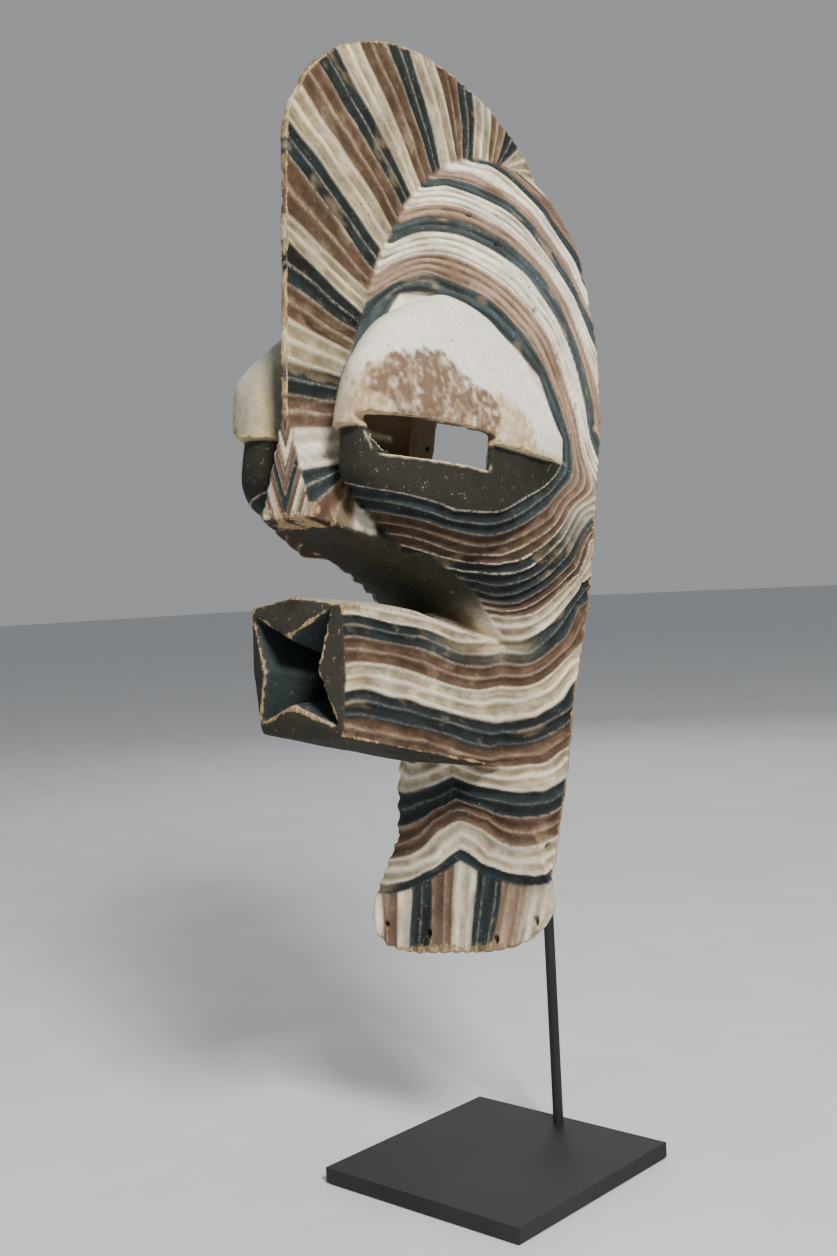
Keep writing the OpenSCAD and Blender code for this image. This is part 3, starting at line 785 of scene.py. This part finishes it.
def roughness(tree, out, value, low, high):
    """Roughness from low to high as value goes from 0 to 1."""
    spread = node(tree, "ShaderNodeMapRange", Value=value, To_Min=low, To_Max=high)
    tree.links.new(spread.outputs[0], out.inputs["Roughness"])


def bump(tree, out, height, strength, distance):
    """Small relief of the surface."""
    relief = node(tree, "ShaderNodeBump", Height=height, Strength=strength, Distance=distance)
    tree.links.new(relief.outputs[0], out.inputs["Normal"])


def mix(tree, factor, a, b, blend="MIX"):
    """Blends two colours."""
    n = tree.nodes.new("ShaderNodeMix")
    n.data_type, n.blend_type = "RGBA", blend
    for socket, value in ((n.inputs[0], factor), (n.inputs[6], a), (n.inputs[7], b)):
        if isinstance(value, bpy.types.NodeSocket):
            tree.links.new(value, socket)
        else:
            socket.default_value = (*value, 1) if isinstance(value, tuple) else value
    return n.outputs[2]


def noise(tree, coords, scale, detail=4.0, rough=0.55, distort=0.0):
    return node(tree, "ShaderNodeTexNoise", Vector=coords, Scale=scale, Detail=detail,
                Roughness=rough, Distortion=distort).outputs["Fac"]


def painted_wood():
    """Pigment with pale crests of worn pigment and painted highlight, darkening deep in the
    grooves, dust, pits and wear down to the wood.
    """
    material, tree, out = shader("painted_wood")
    coords = tree.nodes.new("ShaderNodeTexCoord").outputs["Object"]
    stretched = node(tree, "ShaderNodeMapping", Vector=coords, Scale=(1.0, 1.0, 0.12)).outputs[0]
    attr = lambda n, k: node(tree, "ShaderNodeAttribute", _attribute_name=n).outputs[k]
    pigment, worn, valley = attr("Pigment", "Color"), attr("Wear", "Fac"), attr("Valley", "Fac")
    fine, mid, flake = (noise(tree, coords, s, 6.0, 0.65) for s in (900.0, 260.0, 520.0))
    grain = noise(tree, stretched, 420.0, 5.0, 0.6, 0.4)
    wood = mix(tree, ramp(tree, grain, 0.3, 0.7), (0.17, 0.105, 0.052), (0.43, 0.31, 0.16))
    phase, rubbed_and_lit = attr("Phase", "Fac"), attr("RubbedAndLit", "Fac")
    # painted highlight and worn pigment: a pale line along the crest of each groove
    wobble = math_node(tree, "MULTIPLY_ADD", noise(tree, coords, 190.0, 3.0), 0.16, -0.08)
    away = math_node(tree, "PINGPONG", math_node(tree, "ADD", phase, wobble), 0.5)
    broken = ramp(tree, noise(tree, coords, 330.0, 4.0, 0.7), 0.34, 0.58)
    pale_line = math_node(tree, "MULTIPLY", ramp(tree, away, 0.14, 0.04),
                          math_node(tree, "MULTIPLY", rubbed_and_lit, broken))
    tone = mix(tree, ramp(tree, mid, 0.25, 0.75), (0.80, 0.78, 0.74), (1.12, 1.1, 1.08))
    paint = mix(tree, 1.0, pigment, tone, "MULTIPLY")
    dust = ramp(tree, flake, 0.56, 0.70)
    spots = noise(tree, coords, 150.0, 3.0)
    dust = math_node(tree, "MULTIPLY", dust, ramp(tree, spots, 0.5, 0.68))
    paint = mix(tree, math_node(tree, "MULTIPLY", dust, 0.6), paint, (0.46, 0.39, 0.28))
    thin = math_node(tree, "MULTIPLY", ramp(tree, fine, 0.60, 0.72), 0.5)
    paint = mix(tree, thin, paint, mix(tree, 1.0, paint, (0.45, 0.38, 0.30), "MULTIPLY"))
    # darker deep in the grooves, in patches
    patchy = ramp(tree, noise(tree, coords, 70.0, 4.0), 0.30, 0.62)
    groove_dark = math_node(tree, "MULTIPLY", ramp(tree, valley, 0.2, 0.9),
                     math_node(tree, "MULTIPLY_ADD", patchy, 0.6, 0.35))
    paint = mix(tree, groove_dark, paint, mix(tree, 1.0, paint, (0.42, 0.38, 0.31), "MULTIPLY"))
    paint = mix(tree, math_node(tree, "MULTIPLY", pale_line, 0.9), paint, PALE_LINE)
    rub = math_node(tree, "ADD", math_node(tree, "MULTIPLY", worn, 1.25),
                    math_node(tree, "MULTIPLY", math_node(tree, "SUBTRACT", flake, 0.5), 1.6))
    rub = ramp(tree, rub, 0.45, 0.85)
    surface = mix(tree, rub, paint, wood)
    pits = node(tree, "ShaderNodeTexVoronoi", Vector=coords, Scale=150.0).outputs["Distance"]
    pick = noise(tree, coords, 40.0, 2.0)
    pit = math_node(tree, "MULTIPLY", ramp(tree, pits, 0.13, 0.06), ramp(tree, pick, 0.55, 0.62))
    surface = mix(tree, pit, surface, (0.03, 0.024, 0.018))
    tree.links.new(surface, out.inputs["Base Color"])
    out.inputs["Specular IOR Level"].default_value = 0.25
    roughness(tree, out, mid, 0.78, 0.95)
    height = math_node(tree, "MULTIPLY_ADD", fine, 0.5, math_node(tree, "MULTIPLY", flake, 0.8))
    height = math_node(tree, "MULTIPLY_ADD", grain, 0.5, height)
    height = math_node(tree, "MULTIPLY_ADD", pit, -1.5, height)
    bump(tree, out, height, 0.55, 0.0006)
    return material


def black_steel():
    """Matt black lacquer with a faint orange peel."""
    material, tree, out = shader("black_steel")
    coords = tree.nodes.new("ShaderNodeTexCoord").outputs["Object"]
    orange, smear = noise(tree, coords, 1100.0, 3.0), noise(tree, coords, 14.0, 5.0)
    tree.links.new(mix(tree, ramp(tree, smear, 0.35, 0.75), (0.010, 0.011, 0.012),
                       (0.020, 0.021, 0.022)), out.inputs["Base Color"])
    out.inputs["Specular IOR Level"].default_value = 0.3
    roughness(tree, out, smear, 0.55, 0.68)
    bump(tree, out, orange, 0.25, 0.0002)
    return material


def simple(name, a, b, scale, rough, depth, metal=0.0):
    """Plain material, a little uneven in tone and surface."""
    material, tree, out = shader(name)
    coords = tree.nodes.new("ShaderNodeTexCoord").outputs["Object"]
    tex = noise(tree, coords, scale, 5.0)
    tree.links.new(mix(tree, ramp(tree, tex, 0.3, 0.7), a, b), out.inputs["Base Color"])
    out.inputs["Roughness"].default_value, out.inputs["Metallic"].default_value = rough, metal
    bump(tree, out, tex, 0.5, depth)
    return material


wood_mat, steel_mat = painted_wood(), black_steel()
felt_mat = simple("felt", (0.012, 0.016, 0.013), (0.035, 0.045, 0.036), 1600.0, 0.95, 0.0008)
sleeve_mat = simple("sleeve_rubber", (0.012, 0.012, 0.013), (0.022, 0.022, 0.024), 700.0, 0.7,
                    0.0002)
screw_mat = simple("plain_steel", (0.42, 0.42, 0.43), (0.6, 0.6, 0.61), 500.0, 0.35, 0.0001, 1.0)


def dress(obj, material):
    """Gives an object one material."""
    obj.data.materials.clear()
    obj.data.materials.append(material)


dress(mask, wood_mat)
mask.name = "mask_carved"
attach(mask, "mask")
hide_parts("carved_mask")
for name, material in (
        ("base_plate", steel_mat), ("base_felt", felt_mat), ("base_screw", screw_mat),
        ("post", steel_mat), ("upper_arm", steel_mat), ("crown_bar", steel_mat),
        ("crown_sleeves", sleeve_mat), ("lower_arm", steel_mat), ("chin_bar", steel_mat),
        ("chin_sleeves", sleeve_mat)):
    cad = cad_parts[name]
    for s in cad.material_slots:
        s.material = material
    if not cad.material_slots:
        cad.data.materials.append(material)

# ---------------------------------------------------------------- floor, light, camera
floor_mat, tree, out = shader("floor")
coords = tree.nodes.new("ShaderNodeTexCoord").outputs["Object"]
paper = noise(tree, coords, 9.0, 3.0)
tree.links.new(mix(tree, ramp(tree, paper, 0.3, 0.7), (0.62, 0.63, 0.64), (0.66, 0.67, 0.68)),
               out.inputs["Base Color"])
out.inputs["Roughness"].default_value = 0.9
bpy.ops.mesh.primitive_plane_add(size=60, location=(0, 0, 0))
floor = bpy.context.object
floor.name = "floor"
dress(floor, floor_mat)

world = bpy.data.worlds.new("studio")
bpy.context.scene.world = world
world.use_nodes = True
world.node_tree.nodes["Background"].inputs[0].default_value = (0.80, 0.83, 0.86, 1)
world.node_tree.nodes["Background"].inputs[1].default_value = 0.40


def area(name, place, aim, size, power, tint=(1, 1, 1)):
    """Square area light."""
    light = bpy.data.lights.new(name, "AREA")
    light.size, light.energy, light.color = size, power, tint
    lamp = bpy.data.objects.new(name, light)
    bpy.context.scene.collection.objects.link(lamp)
    lamp.location = place
    lamp.rotation_euler = (Vector(aim) - Vector(place)).to_track_quat("-Z", "Y").to_euler()


area("key", (1.95, -1.15, 2.05), (0, 0, 0.5), 0.6, 130, (1.0, 0.97, 0.93))
area("fill", (-1.2, -2.4, 1.2), (0, 0, 0.45), 1.6, 8, (0.9, 0.95, 1.0))
area("top", (0.3, 0.2, 2.8), (0, 0, 0.4), 1.2, 10)
area("back", (-1.5, 2.3, 1.7), (0, 0, 0.45), 1.4, 16)

AZ, PITCH, ROLL = (math.radians(a) for a in (41.66, 1.6, -2.92))
EYE, FOCAL = (0.69492, -0.83889, 0.43687), 42.42
fwd = Vector((-math.sin(AZ) * math.cos(PITCH), math.cos(AZ) * math.cos(PITCH), -math.sin(PITCH)))
right = Vector((math.cos(AZ), math.sin(AZ), 0))
up = right.cross(fwd)
image_right = right * math.cos(ROLL) + up * math.sin(ROLL)
image_up = -right * math.sin(ROLL) + up * math.cos(ROLL)
lens = bpy.data.cameras.new("camera")
lens.sensor_fit, lens.sensor_width, lens.lens = "AUTO", 36.0, FOCAL
camera = bpy.data.objects.new("camera", lens)
bpy.context.scene.collection.objects.link(camera)
camera.matrix_world = Matrix([
    (image_right[i], image_up[i], -fwd[i], EYE[i]) for i in range(3)] + [(0, 0, 0, 1)])
bpy.context.scene.camera = camera
